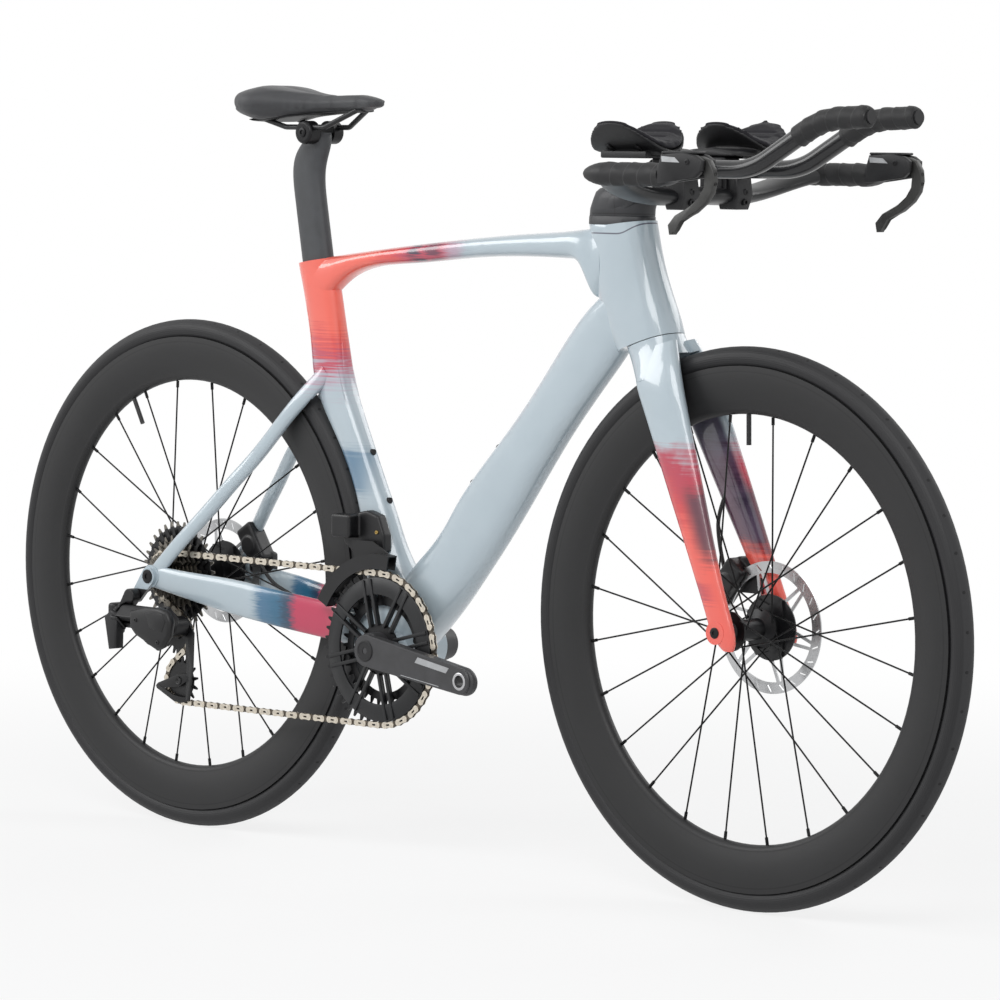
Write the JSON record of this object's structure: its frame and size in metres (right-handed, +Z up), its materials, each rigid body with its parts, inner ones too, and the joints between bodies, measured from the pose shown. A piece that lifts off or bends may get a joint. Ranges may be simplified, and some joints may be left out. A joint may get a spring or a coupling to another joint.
{
  "type": "time trial bike",
  "caption": "Aero time trial bicycle with deep rims, disc brakes, two-ring crank, electric derailleurs, low base bar with arm pads and curved extensions.",
  "frame": {"origin": "on the ground midway between the wheels, in the bike's mid-plane", "axes": "+X forward, +Y to the rider's left, +Z up"},
  "size_m": [1.663, 0.4016, 0.9865],
  "materials": {
    "frame_paint": "gloss pale blue-grey lacquer over carbon, fading to coral and violet",
    "fork_paint": "gloss pale blue-grey lacquer fading to coral with dark violet smears",
    "tyre_rubber": "smooth black rubber with a fine tread band",
    "rim_black": "matte black carbon",
    "black_alloy": "satin black anodised alloy",
    "spoke_steel": "black drawn steel",
    "rotor_steel": "ground steel band on a black carrier",
    "drive_steel": "plated steel",
    "crank_charcoal": "matte charcoal anodised alloy",
    "mech_black": "satin black anodised alloy",
    "bar_carbon": "matte black carbon",
    "soft_black": "matte black grained cover over foam",
    "tape_black": "matte black wound bar tape",
    "black_plastic": "moulded black plastic",
    "rail_carbon": "satin black carbon rod",
    "hose_black": "satin black hose"
  },
  "bodies": {
    "frame": {"front_triangle": "frame_paint", "chainstay_left": "frame_paint", "chainstay_right": "frame_paint", "seatstay_left": "frame_paint", "seatstay_right": "frame_paint", "headset_bearings": "black_alloy", "headset_cover": "frame_paint", "bottom_bracket": "black_alloy", "seatpost": "bar_carbon", "saddle_clamp": "black_alloy", "saddle_rails": "rail_carbon", "saddle_base": "black_plastic", "saddle_cover": "soft_black", "derailleur_hanger": "black_alloy", "rear_brake_caliper": "black_alloy", "rear_brake_hose": "hose_black", "front_derailleur_body": "mech_black", "rear_axle": "black_alloy", "bottle_bolts": "black_alloy", "chain": "drive_steel", "rd_b_knuckle": "mech_black"},
    "front_end": {"fork": "fork_paint", "front_brake_caliper": "black_alloy", "front_brake_hose": "hose_black", "base_bar": "bar_carbon", "extension_risers": "black_alloy", "extensions": "bar_carbon", "bar_tape": "tape_black", "arm_cups": "black_plastic", "arm_pads": "soft_black", "lever_bodies": "black_plastic", "front_axle": "black_alloy"},
    "front_wheel": {"front_tyre": "tyre_rubber", "front_rim": "rim_black", "front_spokes": "spoke_steel", "front_hub": "black_alloy", "front_rotor": "rotor_steel"},
    "rear_wheel": {"rear_tyre": "tyre_rubber", "rear_rim": "rim_black", "rear_spokes": "spoke_steel", "rear_hub": "black_alloy", "rear_rotor": "rotor_steel"},
    "crankset": {"crank_arm_right": "crank_charcoal", "crank_arm_left": "crank_charcoal", "crank_spindle": "drive_steel", "chainrings": "crank_charcoal"},
    "cassette_group": {"cassette": "drive_steel", "freehub_body": "drive_steel"},
    "mech_outer_link": {"rd_outer_link": "mech_black"},
    "mech_inner_link": {"rd_inner_link": "mech_black"},
    "mech_knuckle": {"rd_p_knuckle": "mech_black"},
    "mech_cage": {"rd_cage": "mech_black"},
    "guide_wheel": {"guide_pulley": "mech_black"},
    "tension_wheel": {"tension_pulley": "mech_black"},
    "changer_cage": {"front_derailleur_cage": "mech_black"},
    "lever_right": {"brake_lever_right": "black_plastic"},
    "lever_left": {"brake_lever_left": "black_plastic"},
    "button_right": {"shift_button_right": "black_plastic"},
    "button_left": {"shift_button_left": "black_plastic"}
  },
  "joints": [
    {"name": "steering", "type": "hinge", "parent": "frame", "child": "front_end", "pos_m": [0.44947, 0, 0.32584], "axis": [-0.2924, 0, 0.9563], "range_deg": [-50, 50]},
    {"name": "front_wheel_spin", "type": "hinge", "parent": "front_end", "child": "front_wheel", "pos_m": [0.4925, 0, 0.339], "axis": [0, 1, 0], "continuous": true},
    {"name": "rear_wheel_spin", "type": "hinge", "parent": "frame", "child": "rear_wheel", "pos_m": [-0.4925, 0, 0.339], "axis": [0, 1, 0], "continuous": true},
    {"name": "crank_spin", "type": "hinge", "parent": "frame", "child": "crankset", "pos_m": [-0.08801, 0, 0.272], "axis": [0, 1, 0], "continuous": true, "deforming": ["chain"]},
    {"name": "cassette_spin", "type": "hinge", "parent": "frame", "child": "cassette_group", "pos_m": [-0.4925, 0, 0.339], "axis": [0, 1, 0], "continuous": true},
    {"name": "mech_outer_link_swing", "type": "hinge", "parent": "frame", "child": "mech_outer_link", "pos_m": [-0.527, -0.098, 0.29], "axis": [0, 0.7071, 0.7071], "range_deg": [-14, 15]},
    {"name": "mech_inner_link_swing", "type": "hinge", "parent": "frame", "child": "mech_inner_link", "pos_m": [-0.527, -0.08739, 0.27939], "axis": [0, 0.7071, 0.7071], "range_deg": [-14, 15]},
    {"name": "mech_knuckle_swing", "type": "hinge", "parent": "mech_outer_link", "child": "mech_knuckle", "pos_m": [-0.449, -0.098, 0.29], "axis": [0, 0.7071, 0.7071], "range_deg": [-15, 14]},
    {"name": "cage_swing", "type": "hinge", "parent": "mech_knuckle", "child": "mech_cage", "pos_m": [-0.454, -0.06, 0.274], "axis": [0, 1, 0], "range_deg": [-20, 18], "stiffness_Nm_per_rad": 0.6},
    {"name": "guide_wheel_spin", "type": "hinge", "parent": "mech_cage", "child": "guide_wheel", "pos_m": [-0.47, -0.0475, 0.262], "axis": [0, 1, 0], "continuous": true},
    {"name": "tension_wheel_spin", "type": "hinge", "parent": "mech_cage", "child": "tension_wheel", "pos_m": [-0.46296, -0.0475, 0.2004], "axis": [0, 1, 0], "continuous": true},
    {"name": "changer_slide", "type": "slide", "parent": "frame", "child": "changer_cage", "axis": [0, 1, 0], "range_m": [0, 0.007]},
    {"name": "lever_right_pull", "type": "hinge", "parent": "front_end", "child": "lever_right", "pos_m": [0.564, -0.187, 0.8969], "axis": [0, 1, 0], "range_deg": [0, 18], "stiffness_Nm_per_rad": 0.6},
    {"name": "lever_left_pull", "type": "hinge", "parent": "front_end", "child": "lever_left", "pos_m": [0.564, 0.187, 0.8969], "axis": [0, 1, 0], "range_deg": [0, 18], "stiffness_Nm_per_rad": 0.6},
    {"name": "button_right_press", "type": "slide", "parent": "front_end", "child": "button_right", "axis": [-0.9991, 0, -0.0428], "range_m": [0, 0.0015], "stiffness_N_per_m": 300},
    {"name": "button_left_press", "type": "slide", "parent": "front_end", "child": "button_left", "axis": [-0.9991, 0, -0.0428], "range_m": [0, 0.0015], "stiffness_N_per_m": 300}
  ],
  "couplings": [
    {"joint": "cassette_spin", "follows": "crank_spin", "ratio": 3.2},
    {"joint": "guide_wheel_spin", "follows": "crank_spin", "ratio": -4},
    {"joint": "tension_wheel_spin", "follows": "crank_spin", "ratio": 3.4286},
    {"joint": "mech_inner_link_swing", "follows": "mech_outer_link_swing", "ratio": 1},
    {"joint": "mech_knuckle_swing", "follows": "mech_outer_link_swing", "ratio": -1}
  ]
}
